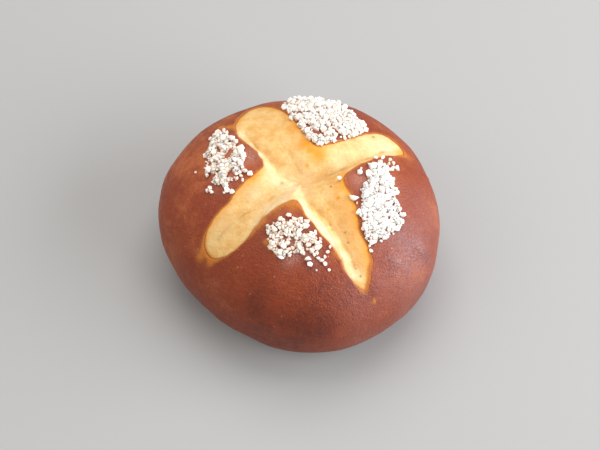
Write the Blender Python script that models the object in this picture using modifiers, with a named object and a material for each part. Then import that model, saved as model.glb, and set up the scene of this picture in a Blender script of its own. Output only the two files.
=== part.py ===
"""Pretzel roll: a round roll of about 100 mm with a brown crust, ripped open on top by a cross cut.

Four pointed flaps of crust stand round a cross of pale crumb, and each flap carries a patch of
coarse salt. The roll is one solid: crust, crumb and salt are joined by Boolean unions. +X is to
the right and +Y is away from the side that is usually looked at. The roll stands on its flat
base at z = 0, with the middle of its bounding box over the origin.
"""
import math
import random

import bmesh
import bpy
import numpy as np
from mathutils import Euler, Matrix, Vector

MM = 0.001
NODE = "pretzel_roll"

# The crust is a turned dome, wide at the belly, on a flat base
MEAN_RADIUS = 50 * MM
HEIGHT = 54 * MM
BELLY_HEIGHT = 21 * MM
BASE_RADIUS_SHARE = 0.72
DOME_POWER = 2.15
UNDERSIDE_POWER = 2.1
TURN_STEPS = 64
DOME_ROWS = 13
UNDERSIDE_ROWS = 6

# The plan isn't quite round: lobes, share of the radius, and the direction of one lobe in degrees
PLAN_LOBES = ((2, 0.040, -24.0), (3, 0.020, 46.0), (4, 0.008, -15.0))

# The edge of the cut seen from above, counter-clockwise from the back-left arm, in millimetres
BACK_LEFT_ARM = ((-9.2, 34.0), (-14.3, 36.8), (-19.2, 35.4), (-22.7, 29.6), (-24.0, 23.2))
LEFT_FLAP = ((-21.0, 16.4), (-17.2, 12.0), (-14.6, 8.2), (-13.0, 3.6), (-15.6, 1.0),
             (-20.0, -3.0), (-25.0, -8.8), (-29.6, -13.5))
FRONT_LEFT_ARM = ((-32.6, -17.6), (-33.3, -21.6), (-31.9, -25.0), (-28.4, -26.7), (-24.4, -26.4))
FRONT_FLAP = ((-19.2, -23.6), (-15.6, -19.6), (-11.2, -14.8), (-6.2, -11.8), (-2.4, -10.4), (-0.4, -11.8),
              (2.2, -16.7), (6.6, -22.0), (11.2, -26.4), (14.2, -29.8), (16.4, -33.2))
FRONT_RIGHT_ARM = ((18.4, -36.3), (21.4, -38.0), (23.0, -34.4))
RIGHT_FLAP = ((24.1, -29.2), (22.8, -24.6), (20.2, -20.4), (19.4, -14.6), (17.6, -8.0), (15.2, -3.6),
              (15.1, -0.6), (18.8, 3.7), (24.6, 7.9), (30.6, 11.6))
BACK_RIGHT_ARM = ((35.2, 13.8), (37.0, 16.0), (35.4, 19.0))
BACK_FLAP = ((31.4, 22.0), (26.6, 22.4), (20.2, 19.0), (13.6, 15.4), (7.3, 12.6), (3.4, 14.6),
             (-0.4, 21.2), (-4.4, 28.4))
CUT_EDGE = np.array(BACK_LEFT_ARM + LEFT_FLAP + FRONT_LEFT_ARM + FRONT_FLAP
                    + FRONT_RIGHT_ARM + RIGHT_FLAP + BACK_RIGHT_ARM + BACK_FLAP) * MM
CUT_EDGE_POINTS = 116

# A place from which every stretch of the cut's edge can be seen
SPOKE_CENTRE = np.array((-0.8, 0.4)) * MM

# Where the two slashes crossed, and the crease that each arm keeps, from there outwards
CROSSING = np.array((0.3, -1.5)) * MM
BACK_LEFT_CREASE = ((-4.0, 0.2), (-7.6, 2.6), (-10.4, 6.8), (-13.2, 11.0), (-17.0, 15.8), (-20.5, 21.0))
FRONT_LEFT_CREASE = ((-5.3, -4.5), (-9.6, -7.6), (-14.0, -10.4), (-19.4, -13.0), (-28.5, -20.5))
FRONT_RIGHT_CREASE = ((1.0, -7.5), (3.4, -11.2), (6.9, -14.2), (9.9, -17.6), (13.0, -22.2), (17.8, -31.5))
BACK_RIGHT_CREASE = ((4.2, -0.6), (8.0, 0.9), (12.3, 2.6), (16.6, 5.0), (21.5, 8.6), (31.5, 15.5))
CREASES = [
    np.vstack((CROSSING, np.array(crease) * MM))
    for crease in (BACK_LEFT_CREASE, FRONT_LEFT_CREASE, FRONT_RIGHT_CREASE, BACK_RIGHT_CREASE)
]

# The crumb lies a crust's step below the flaps, and falls to the creases
CRUST_STEP = 0.5 * MM
VALLEY_DEPTH = 6.2 * MM
VALLEY_LENGTH = 46 * MM
VALLEY_FADE = 1.25
BULGE = 1.7
CRUMB_RINGS = (0.14, 0.28, 0.42, 0.55, 0.67, 0.78, 0.87, 0.94, 0.985)
CRUMB_TUCK = 1.0 * MM
CRUMB_TUCK_DROP = 1.0 * MM
WELL_FLOOR = 24 * MM
CRUMB_FLOOR = 20 * MM

# Patches of salt, one to a flap: outline in millimetres, number of grains, share that lie on others
SALT_PATCHES = (
    (((-30.0, 22.5), (-24.5, 20.0), (-20.0, 12.7), (-17.7, 7.0), (-17.5, 2.0), (-22.0, -3.5), (-25.0, -6.0),
      (-32.0, -3.0), (-34.3, 4.0), (-33.6, 15.0)), 34, 0.05),
    (((-7.2, 34.5), (-3.5, 40.5), (4.0, 42.5), (11.5, 40.5), (18.0, 32.5), (23.0, 28.5), (21.8, 22.0),
      (13.5, 16.6), (8.0, 14.0), (3.4, 17.0), (0.4, 23.0), (-4.0, 30.5)), 54, 0.25),
    (((20.6, 2.4), (27.0, 7.8), (33.5, 10.8), (32.6, -2.5), (36.2, -10.0), (32.2, -18.2), (25.0, -22.5),
      (21.8, -20.0), (21.0, -12.5), (21.0, -5.0)), 48, 0.25),
    (((-10.0, -17.0), (-4.0, -14.6), (1.0, -18.2), (5.6, -23.6), (10.2, -28.0), (8.8, -31.6), (2.0, -31.6),
      (-5.0, -29.6), (-9.4, -27.4), (-12.0, -21.6)), 32, 0.05),
)
GRAIN_RADIUS = (0.9 * MM, 1.5 * MM)
GRAIN_LIFT = 0.35
GRAIN_TRIES = 4000
SALT_SEED = 7

# Distances between grains, as shares of their radii's sum: side by side, at least, and stacked
SIDE_BY_SIDE = 0.85
LEAST_OFFSET = 0.45
STACKED = 0.8


def clear_scene():
    """Removes what the scene holds, so that only the roll is left."""
    for obj in list(bpy.data.objects):
        bpy.data.objects.remove(obj, do_unlink=True)


def make_material(name, colour, roughness):
    """A plain finish with a base colour and a roughness."""
    material = bpy.data.materials.new(name)
    material.use_nodes = True
    shader = material.node_tree.nodes["Principled BSDF"]
    shader.inputs["Base Color"].default_value = (*colour, 1.0)
    shader.inputs["Roughness"].default_value = roughness
    shader.inputs["Metallic"].default_value = 0.0
    return material


def new_object(name, mesh, collection, material):
    """Wraps a mesh in an object of one collection and one material."""
    obj = bpy.data.objects.new(name, mesh)
    collection.objects.link(obj)
    mesh.materials.append(material)
    return obj


def new_collection(name):
    """A collection linked to the scene."""
    collection = bpy.data.collections.new(name)
    bpy.context.scene.collection.children.link(collection)
    return collection


def apply_modifiers(obj):
    """Gives the object the mesh that its modifiers make, and removes them."""
    bpy.context.view_layer.update()
    evaluated = obj.evaluated_get(bpy.context.evaluated_depsgraph_get())
    mesh = bpy.data.meshes.new_from_object(evaluated)
    mesh.name = obj.name
    obj.modifiers.clear()
    obj.data = mesh


def plan_radius(azimuth):
    """Radius of the belly at an azimuth: the mean radius with a few low lobes."""
    share = np.ones_like(azimuth)
    for lobes, size, direction in PLAN_LOBES:
        share = share + size * np.cos(lobes * (azimuth - math.radians(direction)))
    return MEAN_RADIUS * share


def crust_height(x, y):
    """Height of the crust over a point of the plan: a superellipse from the belly to the top."""
    share = np.clip(np.hypot(x, y) / plan_radius(np.arctan2(y, x)), 0, 1)
    rise = (1 - share ** DOME_POWER) ** (1 / DOME_POWER)
    return BELLY_HEIGHT + (HEIGHT - BELLY_HEIGHT) * rise


def smooth_loop(points, count, shift=0.0):
    """Points evenly spaced along the closed curve through the given ones (Catmull-Rom)."""
    fine = 24
    t = (np.arange(fine) / fine)[:, None]
    before, after, beyond = (np.roll(points, shift_by, axis=0) for shift_by in (1, -1, -2))
    pieces = [
        b + 0.5 * ((c - a) * t + (2 * a - 5 * b + 4 * c - d) * t ** 2 + (3 * b - a - 3 * c + d) * t ** 3)
        for a, b, c, d in zip(before, points, after, beyond)
    ]
    curve = np.concatenate(pieces + [points[:1]])
    along = np.concatenate(([0.0], np.cumsum(np.hypot(*np.diff(curve, axis=0).T))))
    wanted = (np.arange(count) + shift) / count * along[-1]
    return np.stack((np.interp(wanted, along, curve[:, 0]), np.interp(wanted, along, curve[:, 1])), axis=1)


def path_distance(points, path):
    """Distance in plan from each point to the nearest stretch of a path."""
    start, run = path[:-1], np.diff(path, axis=0)
    offset = points[:, None, :] - start[None]
    along = np.clip((offset * run).sum(-1) / (run ** 2).sum(-1), 0, 1)
    return np.hypot(*np.moveaxis(offset - along[..., None] * run, -1, 0)).min(axis=1)


def crumb_height(points):
    """Height of the crumb: under the crust by its step at the cut's edge, lowest along the creases.

    Between crease and edge the crumb bulges: the depth falls as a power of the share of the way.
    """
    edge = smooth_loop(CUT_EDGE, 4 * CUT_EDGE_POINTS)
    to_edge = path_distance(points, np.concatenate((edge, edge[:1])))
    to_crease = np.min([path_distance(points, crease) for crease in CREASES], axis=0)
    from_crossing = np.hypot(*(points - CROSSING).T)
    valley = VALLEY_DEPTH * np.clip(1 - from_crossing / VALLEY_LENGTH, 0, 1) ** VALLEY_FADE
    share = to_edge / (to_edge + to_crease + 0.01 * MM)
    return crust_height(points[:, 0], points[:, 1]) - CRUST_STEP - valley * share ** BULGE


def turn(name, profile, steps, collection, material):
    """Turns a profile of (radius, height) points, from the top down, about +Z into a closed solid."""
    mesh = bpy.data.meshes.new(name)
    points = [(radius, 0, height) for radius, height in profile]
    mesh.from_pydata(points, [(i, i + 1) for i in range(len(points) - 1)], [])
    obj = new_object(name, mesh, collection, material)
    screw = obj.modifiers.new("turn", "SCREW")
    screw.axis = "Z"
    screw.steps = steps
    screw.render_steps = steps
    screw.use_merge_vertices = True
    screw.merge_threshold = 0.01 * MM
    apply_modifiers(obj)
    return obj


def make_crust(collection, material):
    """The roll before it is cut: a turned profile whose rows are then led out to the uneven plan."""
    dome = [
        (MEAN_RADIUS * math.sin(a) ** (2 / DOME_POWER),
         BELLY_HEIGHT + (HEIGHT - BELLY_HEIGHT) * math.cos(a) ** (2 / DOME_POWER))
        for a in (math.pi / 2 * i / DOME_ROWS for i in range(DOME_ROWS))
    ]
    tuck = 1 - BASE_RADIUS_SHARE
    underside = [
        (MEAN_RADIUS * (BASE_RADIUS_SHARE + tuck * math.cos(a) ** (2 / UNDERSIDE_POWER)),
         BELLY_HEIGHT * (1 - math.sin(a) ** (2 / UNDERSIDE_POWER)))
        for a in (math.pi / 2 * i / UNDERSIDE_ROWS for i in range(UNDERSIDE_ROWS))
    ]
    base = [(MEAN_RADIUS * BASE_RADIUS_SHARE, 0), (0, 0)]
    obj = turn(NODE, dome + underside + base, TURN_STEPS, collection, material)
    for vertex in obj.data.vertices:
        stretch = plan_radius(np.arctan2(vertex.co.y, vertex.co.x)) / MEAN_RADIUS
        vertex.co.x *= stretch
        vertex.co.y *= stretch
    return obj


def make_well(collection, material):
    """Cutter for the cross: the cut's edge as a flat outline, extruded to stand out of the top."""
    curve = bpy.data.curves.new("cross_cut", "CURVE")
    curve.dimensions = "2D"
    curve.fill_mode = "BOTH"
    curve.extrude = (HEIGHT - WELL_FLOOR) / 2 + 2 * MM
    edge = smooth_loop(CUT_EDGE, CUT_EDGE_POINTS)
    spline = curve.splines.new("POLY")
    spline.points.add(len(edge) - 1)
    spline.use_cyclic_u = True
    for point, (x, y) in zip(spline.points, edge):
        point.co = (x, y, 0, 1)
    outline = bpy.data.objects.new("cross_outline", curve)
    outline.location.z = WELL_FLOOR + curve.extrude
    collection.objects.link(outline)
    bpy.context.view_layer.update()
    mesh = bpy.data.meshes.new_from_object(outline.evaluated_get(bpy.context.evaluated_depsgraph_get()))
    shape = bmesh.new()
    shape.from_mesh(mesh)
    bmesh.ops.remove_doubles(shape, verts=shape.verts, dist=0.001 * MM)
    bmesh.ops.recalc_face_normals(shape, faces=shape.faces)
    shape.to_mesh(mesh)
    shape.free()
    mesh.materials.clear()
    well = new_object("cross_cut", mesh, collection, material)
    well.matrix_world = outline.matrix_world
    bpy.data.objects.remove(outline, do_unlink=True)
    bpy.data.curves.remove(curve)
    return well


def make_crumb(collection, material):
    """The crumb that fills the cut: a turned plug whose spokes are led out to the cut's edge.

    Its last ring is tucked a little under the crust, and is lower there.
    """
    tuck_ring = 2
    profile = [(0, 1), *((ring, 1) for ring in CRUMB_RINGS), (tuck_ring, 1), (tuck_ring, 0), (0, 0)]
    obj = turn("crumb", profile, CUT_EDGE_POINTS, collection, material)
    co = np.array([vertex.co for vertex in obj.data.vertices])
    ring = np.hypot(co[:, 0], co[:, 1])
    turns = np.arctan2(co[:, 1], co[:, 0]) / (2 * math.pi)
    spoke = np.round(turns * CUT_EDGE_POINTS).astype(int) % CUT_EDGE_POINTS
    edge = smooth_loop(CUT_EDGE, CUT_EDGE_POINTS, shift=0.5)
    along = np.roll(edge, -2, axis=0) - np.roll(edge, 2, axis=0)
    outward = np.stack((along[:, 1], -along[:, 0]), axis=1) / np.hypot(*along.T)[:, None]
    tucked = ring > 1
    plan = SPOKE_CENTRE + np.minimum(ring, 1)[:, None] * (edge[spoke] - SPOKE_CENTRE)
    plan[tucked] += outward[spoke[tucked]] * CRUMB_TUCK
    top = crumb_height(plan)
    top[tucked] = crust_height(*plan[tucked].T) - CRUST_STEP - CRUMB_TUCK_DROP
    height = np.where(co[:, 2] > 0.5, top, CRUMB_FLOOR)
    obj.data.vertices.foreach_set("co", np.column_stack((plan, height)).ravel())
    obj.data.update()
    return obj


def inside(point, outline):
    """Whether a point of the plan lies inside a closed outline (even-odd rule)."""
    x, y = point
    crossings = 0
    for (x0, y0), (x1, y1) in zip(outline, outline[1:] + outline[:1]):
        if (y0 > y) != (y1 > y) and x < x0 + (y - y0) / (y1 - y0) * (x1 - x0):
            crossings += 1
    return crossings % 2 == 1


def place_grain(draw, outline, radius, may_stack, placed):
    """A free place for one grain, on the crust or on the grain that it overlaps, or None."""
    low, high = np.min(outline, axis=0), np.max(outline, axis=0)
    for _ in range(GRAIN_TRIES):
        point = (draw.uniform(low[0], high[0]), draw.uniform(low[1], high[1]))
        if not inside(point, outline):
            continue
        x, y = point[0] * MM, point[1] * MM
        gaps = [(math.hypot(x - a, y - b) / (radius + r), c, r) for a, b, c, r in placed]
        gap, under, under_radius = min(gaps, default=(1, 0, 0))
        if gap >= SIDE_BY_SIDE:
            return x, y, float(crust_height(np.array(x), np.array(y))) + GRAIN_LIFT * radius, radius
        if may_stack and gap >= LEAST_OFFSET:
            rise = (radius + under_radius) * math.sqrt(max(0, STACKED ** 2 - gap ** 2))
            return x, y, under + rise, radius
    return None


def scatter_grains():
    """Places and radii of the salt: each patch is filled at random, with its large grains first."""
    draw = random.Random(SALT_SEED)
    grains = []
    for outline, count, share_on_top in SALT_PATCHES:
        placed = []
        radii = sorted((draw.uniform(*GRAIN_RADIUS) for _ in range(count)), reverse=True)
        for radius in radii:
            grain = place_grain(draw, outline, radius, draw.random() < share_on_top, placed)
            if grain:
                placed.append(grain)
        grains += placed
    return grains


def make_salt(collection, material):
    """The grains: small twenty-sided crystals, each squeezed and turned at random."""
    draw = random.Random(SALT_SEED + 1)
    for number, (x, y, z, radius) in enumerate(scatter_grains()):
        shape = bmesh.new()
        bmesh.ops.create_icosphere(shape, subdivisions=1, radius=radius)
        squeeze = Vector([draw.uniform(0.75, 1.15) for _ in range(3)])
        turned = Euler([draw.uniform(0, 2 * math.pi) for _ in range(3)])
        bmesh.ops.scale(shape, vec=squeeze, verts=shape.verts)
        bmesh.ops.rotate(shape, matrix=turned.to_matrix(), verts=shape.verts)
        bmesh.ops.translate(shape, vec=(x, y, z), verts=shape.verts)
        mesh = bpy.data.meshes.new("grain_%03d" % number)
        shape.to_mesh(mesh)
        shape.free()
        new_object(mesh.name, mesh, collection, material)


def join(obj, operation, other=None, collection=None):
    """Adds one Boolean step, with an object or with all of a collection, and applies it."""
    step = obj.modifiers.new("join", "BOOLEAN")
    step.operation = operation
    step.solver = "EXACT"
    step.material_mode = "TRANSFER"
    if collection:
        step.operand_type = "COLLECTION"
        step.collection = collection
    else:
        step.object = other
    apply_modifiers(obj)


def keep_one_shell(mesh):
    """Keeps the largest closed shell, and deletes sealed hollows and loose scraps."""
    shape = bmesh.new()
    shape.from_mesh(mesh)
    waiting = set(shape.faces)
    shells = []
    while waiting:
        front = [waiting.pop()]
        shell = list(front)
        while front:
            linked = {face for edge in front.pop().edges for face in edge.link_faces} & waiting
            waiting -= linked
            front.extend(linked)
            shell.extend(linked)
        shells.append(shell)
    shells.sort(key=len)
    for shell in shells[:-1]:
        bmesh.ops.delete(shape, geom=shell, context="FACES")
    loose = [vertex for vertex in shape.verts if not vertex.link_faces]
    bmesh.ops.delete(shape, geom=loose, context="VERTS")
    shape.to_mesh(mesh)
    shape.free()


def centre_over_origin(mesh):
    """Moves the roll so that the middle of its plan's bounding box is over the origin."""
    azimuth = np.linspace(0, 2 * math.pi, 720, endpoint=False)
    belly = plan_radius(azimuth) * (np.cos(azimuth), np.sin(azimuth))
    middle_x, middle_y = (belly.min(axis=1) + belly.max(axis=1)) / 2
    mesh.transform(Matrix.Translation((-middle_x, -middle_y, 0)))


def main():
    """Cuts the cross out of the crust, fills it with crumb, and joins the salt on."""
    clear_scene()
    parts = new_collection(NODE + "_parts")
    cutters = new_collection("cutters")
    salt = new_collection("salt")
    crust_finish = make_material("crust", (0.27, 0.075, 0.030), 0.45)
    crumb_finish = make_material("crumb", (0.90, 0.58, 0.23), 0.7)
    salt_finish = make_material("salt", (0.92, 0.91, 0.89), 0.35)

    roll = make_crust(parts, crust_finish)
    well = make_well(cutters, crust_finish)
    join(roll, "DIFFERENCE", other=well)
    crumb = make_crumb(cutters, crumb_finish)
    join(roll, "UNION", other=crumb)
    make_salt(salt, salt_finish)
    join(roll, "UNION", collection=salt)
    for obj in [well, crumb, *salt.objects]:
        bpy.data.objects.remove(obj, do_unlink=True)
    for emptied in (cutters, salt):
        bpy.data.collections.remove(emptied)
    keep_one_shell(roll.data)
    centre_over_origin(roll.data)
    roll.data.shade_smooth()
    roll.data.set_sharp_from_angle(angle=math.radians(35))


main()
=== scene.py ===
"""Looks of the pretzel roll: a browned crust, the pale crumb in its cross cut, and coarse salt.

The roll's form repeats the formulas of its solid: a superelliptic dome on an uneven plan, a cut whose
edge is a smooth loop, and a crumb that bulges between creases and edge. Crust, crumb and salt are each
one mesh. Lengths are in metres, and lists of places are in millimetres. Shapes are worked out in the
plan of the solid before it was centred, so every mesh is moved by the same step at the end.
"""
import math

import bpy
import numpy as np
from mathutils import Matrix, Vector


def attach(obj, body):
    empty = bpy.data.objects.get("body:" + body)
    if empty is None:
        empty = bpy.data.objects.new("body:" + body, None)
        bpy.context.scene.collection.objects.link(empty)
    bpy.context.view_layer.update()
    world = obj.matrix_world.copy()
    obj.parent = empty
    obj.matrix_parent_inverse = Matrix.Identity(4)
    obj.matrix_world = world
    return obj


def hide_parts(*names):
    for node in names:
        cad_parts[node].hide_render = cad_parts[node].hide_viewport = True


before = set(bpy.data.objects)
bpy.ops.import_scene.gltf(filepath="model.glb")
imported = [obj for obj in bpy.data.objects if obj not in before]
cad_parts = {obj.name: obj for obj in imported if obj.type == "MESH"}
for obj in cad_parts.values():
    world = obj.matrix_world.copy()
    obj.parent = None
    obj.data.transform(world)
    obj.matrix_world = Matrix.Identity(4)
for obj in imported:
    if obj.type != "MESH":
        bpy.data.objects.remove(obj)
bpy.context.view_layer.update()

MM = 0.001
NODE = "pretzel_roll"

# The dome, as in the solid. Each lobe of the plan has a count round it, a size and a direction
MEAN_RADIUS = 50 * MM
HEIGHT = 54 * MM
BELLY_HEIGHT = 21 * MM
BASE_RADIUS_SHARE = 0.72
DOME_POWER = 2.15
UNDERSIDE_POWER = 2.1
PLAN_LOBES = ((2, 0.040, -24.0), (3, 0.020, 46.0), (4, 0.008, -15.0))

# The edge of the cut, counter-clockwise from the back-left arm, as in the solid but for the end of
# the front-right arm, which is drawn more closely here
BACK_LEFT_ARM = ((-9.2, 34.0), (-14.3, 36.8), (-19.2, 35.4), (-22.7, 29.6), (-24.0, 23.2))
LEFT_FLAP = (
    (-21.0, 16.4), (-17.2, 12.0), (-14.6, 8.2), (-13.0, 3.6), (-15.6, 1.0),
    (-20.0, -3.0), (-25.0, -8.8), (-29.6, -13.5))
FRONT_LEFT_ARM = ((-32.6, -17.6), (-33.3, -21.6), (-31.9, -25.0), (-28.4, -26.7), (-24.4, -26.4))
FRONT_FLAP = (
    (-19.2, -23.6), (-15.6, -19.6), (-11.2, -14.8), (-6.2, -11.8), (-2.4, -10.4), (-0.4, -11.8),
    (2.2, -16.7), (6.6, -22.0), (11.0, -26.9), (13.5, -30.3), (14.7, -33.4))
FRONT_RIGHT_ARM = ((17.4, -36.1), (20.6, -38.1), (22.3, -37.7), (23.1, -34.6))
RIGHT_FLAP = (
    (23.9, -29.2), (22.8, -24.6), (20.2, -20.4), (19.4, -14.6), (17.6, -8.0), (15.2, -3.6),
    (15.1, -0.6), (18.8, 3.7), (24.6, 7.9), (30.6, 11.6))
BACK_RIGHT_ARM = ((35.2, 13.8), (37.0, 16.0), (35.4, 19.0))
BACK_FLAP = (
    (31.4, 22.0), (26.6, 22.4), (20.2, 19.0), (13.6, 15.4), (7.3, 12.6), (3.4, 14.6),
    (-0.4, 21.2), (-4.4, 28.4))
CUT_EDGE = np.array(BACK_LEFT_ARM + LEFT_FLAP + FRONT_LEFT_ARM + FRONT_FLAP
                    + FRONT_RIGHT_ARM + RIGHT_FLAP + BACK_RIGHT_ARM + BACK_FLAP) * MM
SPOKE_CENTRE = np.array((-0.8, 0.4)) * MM

# The creases, from the slashes' crossing outwards
CROSSING = np.array((0.3, -1.5)) * MM
BACK_LEFT_CREASE = (
    (-4.0, 0.2), (-7.6, 2.6), (-10.4, 6.8), (-13.2, 11.0), (-17.0, 15.8), (-20.5, 21.0))
FRONT_LEFT_CREASE = ((-5.3, -4.5), (-9.6, -7.6), (-14.0, -10.4), (-19.4, -13.0), (-28.5, -20.5))
FRONT_RIGHT_CREASE = (
    (1.0, -7.5), (3.4, -11.2), (6.9, -14.2), (9.9, -17.6), (13.0, -22.2), (17.8, -31.5))
BACK_RIGHT_CREASE = ((4.2, -0.6), (8.0, 0.9), (12.3, 2.6), (16.6, 5.0), (21.5, 8.6), (31.5, 15.5))
CREASES = [
    np.vstack((CROSSING, np.array(crease) * MM))
    for crease in (BACK_LEFT_CREASE, FRONT_LEFT_CREASE, FRONT_RIGHT_CREASE, BACK_RIGHT_CREASE)
]
CRUST_STEP = 0.5 * MM
AMBER_STEP_LOSS = 0.6
VALLEY_DEPTH = 6.2 * MM
VALLEY_LENGTH = 46 * MM
VALLEY_FADE = 1.25
BULGE = 1.7
CREASE_ROUNDING = 0.4
CREASE_WANDER = 0.6 * MM
WANDER_SIZE = 3.5 * MM
WANDER_SEEDS = (31, 32)
# Where the bottom of a crease is rounder: x, y, radius and the added rounding
SOFT_CREASE = ((-6.0, -5.0, 8.0, 1.6), (-16.0, -11.5, 5.0, 0.8))

# The share of the radius where the spokes end and the side begins, and the heights between which
# swells, marks on the upper side, a painted shade on the low side and the brown base fade in or out
SHOULDER_SHARE = 0.93
SWELL_RISE = (1 * MM, 14 * MM)
UPPER_SIDE = (3 * MM, 20 * MM)
PAINTED_SHADE_LOW_SIDE = (1 * MM, 10 * MM)
BASE_EDGE = (0.05 * MM, 1.5 * MM)

# The crust's lip and the well below it, and the crumb's skin with its rim tucked under the crust
LIP_RADIUS = 0.45 * MM
WELL_GAP = 3.0 * MM
CRUMB_THICKNESS = 1.5 * MM
CRUMB_INSET = 0.5 * MM
CRUMB_RIM = (-0.35, -0.2, -0.1, 0, 0.2, 0.45, 0.7)
CRUMB_TUCK = (0.1, 0.4, 0.9)
CRUMB_RIM_THICKNESS = 0.6 * MM

# How finely the surfaces are worked out: steps and points of a row, then the rows from the middle
# outwards, where a crowding over 1 lays them denser near the cut's edge
SPOKES = 800
CURVE_STEPS = 24
PLAN_STEPS = 720
EDGE_REACH = 6
EDGE_THINNING = 4
HALVINGS = 40
WELL_SHARES = (0.3, 0.6, 0.85)
WALL_DROPS = (3.5, 2.0, 1.2, 0.7)
LIP_ROWS = 7
BESIDE_CUT = (0.6, 0.75, 0.95, 1.2, 1.5)
FLAP_ROWS = 50
FLAP_CROWDING = 1.25
UPPER_ROWS = 24
LOWER_ROWS = 20
EVEN_BY = 0.8
BASE_ROWS = 8
BASE_REACH = 0.9
CRUMB_ROWS = 84
CRUMB_CROWDING = 1.15
CRUMB_UNDER_SHARES = (1, 0.8, 0.55, 0.3)

# Layers of smooth noise, each with its strength, the size of its lumps in millimetres and its seed
DOUGH_SWELLS = ((0.50, 21.0, 3), (0.28, 9.0, 4))
EDGE_TEAR = ((0.25, 2.6, 8), (0.2, 1.1, 9))
CRUST_MOTTLING = ((0.35, 12.0, 14), (0.25, 5.0, 15))
CRUMB_RELIEF = ((0.15, 4.5, 21), (0.04, 1.6, 22))
CRUST_RELIEF = 0.04 * MM
SWELL_MIDDLE = np.array((0, 0, 15)) * MM
SHARP_TURN = (0.4, 1.0)
LATTICE_NODES = 32
LATTICE_SHIFT = 0.37

# Soft spots, each with its x, y, radius and strength: low bumps, whose strength is a height
BUMPS = (
    (40.0, -20.2, 2.7, 1.4), (31.7, -27.2, 3.0, 1.2), (40.6, -12.8, 2.6, 0.5), (25.5, -36.5, 3.0, 0.5),
    (-33.0, -4.5, 5.0, -0.5), (-16.0, -39.0, 5.0, -0.8), (-9.0, -36.0, 3.5, 0.4), (45.0, 9.5, 1.6, 0.9))
# Where the crust is baked darker, or lighter where the strength is negative. The broad spots low at the
# front and under it are partly painted shade, and the two small ones beside the bumps on the right are the
# bumps' painted shade
BAKED_AND_SHADE = (
    (-43.0, 3.0, 6.0, 0.6), (-35.0, -6.0, 5.0, 0.6), (-36.0, 12.0, 14.0, -0.9),
    (-15.6, -40.0, 5.0, 0.6), (-4.0, -40.0, 18.0, 0.5), (-43.0, -18.0, 9.0, -0.2),
    (-37.0, -14.0, 5.0, 0.3), (-5.0, -28.0, 3.0, 0.2), (19.5, -2.5, 4.0, -0.5),
    (34.0, 24.0, 14.0, -0.2), (0.0, 47.0, 14.0, -0.4), (33.0, -27.0, 14.0, 0.25),
    (43.2, -21.5, 2.2, 0.5), (35.2, -28.5, 2.0, 0.3), (2.0, -48.0, 9.0, 0.4))
# Where the crust is shinier, where a cool sheen is painted into its colour (the window's reflection on the
# right side and the lit tops of two bumps), and where fine salt has dusted it
SHINE = (
    (36.0, -28.0, 16.0, 0.8), (19.0, -42.0, 15.0, 0.6), (46.0, -4.0, 12.0, 0.6),
    (-17.0, -29.0, 4.0, 0.4))
PAINTED_SHEEN_SPOTS = (
    (38.0, -22.0, 9.0, 0.12), (34.0, -33.0, 8.0, 0.06), (44.0, -6.0, 9.0, 0.06),
    (20.0, -42.0, 8.0, 0.05), (40.0, -20.2, 2.8, 0.06), (31.8, -27.5, 3.2, 0.07))
DUST = (
    (-27.0, 16.0, 6.0, 0.3), (-27.0, 5.0, 5.0, 0.3), (-27.0, -2.0, 4.0, 0.3), (-5.0, -22.5, 4.5, 0.5),
    (0.0, -26.0, 4.5, 0.5), (-4.0, -30.0, 2.6, 0.5), (5.0, -30.0, 3.0, 0.3), (8.0, 22.0, 8.0, 0.5),
    (2.0, 35.0, 7.0, 0.5), (27.0, -3.0, 6.0, 0.5), (27.0, -15.0, 6.0, 0.5), (20.0, -1.5, 3.5, 0.4),
    (-18.0, 8.0, 3.5, 0.55))
# Where the whole crust has thinned to orange-brown
THINNED = (
    (-2.6, -12.2, 3.2, 0.7), (-8.0, -15.5, 2.6, 0.4), (-11.6, -24.2, 1.4, 0.8), (-10.2, -26.6, 1.2, 0.8),
    (-8.6, -28.6, 1.2, 0.6), (-15.5, -21.0, 2.4, 0.3), (-29.1, 25.8, 1.6, 0.9), (-26.0, 25.0, 1.6, 0.9),
    (-26.5, 33.0, 3.5, 0.5), (-34.6, -23.8, 1.9, 0.8), (-31.6, -26.8, 1.7, 0.6), (38.5, 15.0, 2.6, 0.5),
    (-45.0, -18.0, 6.0, 0.3), (24.7, -39.7, 0.8, 0.9), (-12.6, -17.8, 2.2, 0.5),
    (10.8, -29.2, 2.4, 0.35))
# Where a band of crust beside the cut's edge has thinned, and how wide the thin rim is everywhere
THIN_EDGE = (
    (-33.5, -22.0, 5.0, 1.2), (-29.5, -27.0, 5.0, 0.8), (-24.5, 25.0, 5.0, 0.8), (-23.0, 31.5, 5.0, 0.9),
    (-17.0, 37.0, 5.0, 0.9), (-9.5, 35.0, 4.0, 0.7), (-4.0, -11.0, 5.0, 0.8), (-10.0, -15.0, 5.0, 0.6),
    (-16.0, -20.5, 4.0, 0.4), (3.0, -18.0, 4.0, 0.5), (8.0, -23.5, 4.0, 0.4), (14.0, -30.0, 4.0, 0.5),
    (-13.5, 5.0, 4.0, 0.2), (-16.5, 11.0, 4.0, 0.3), (-21.0, 17.0, 4.0, 0.5), (23.5, -31.0, 5.0, 0.3),
    (21.0, -38.5, 3.0, 0.8), (16.0, -3.0, 5.0, 0.6), (19.0, -13.0, 5.0, 0.5), (22.0, 6.0, 5.0, 0.4),
    (36.5, 14.5, 4.0, 0.9), (33.5, 20.5, 4.0, 0.7), (7.0, 13.0, 5.0, 0.8), (1.0, 19.0, 5.0, 0.8))
THIN_RIM = 0.5 * MM
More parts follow.
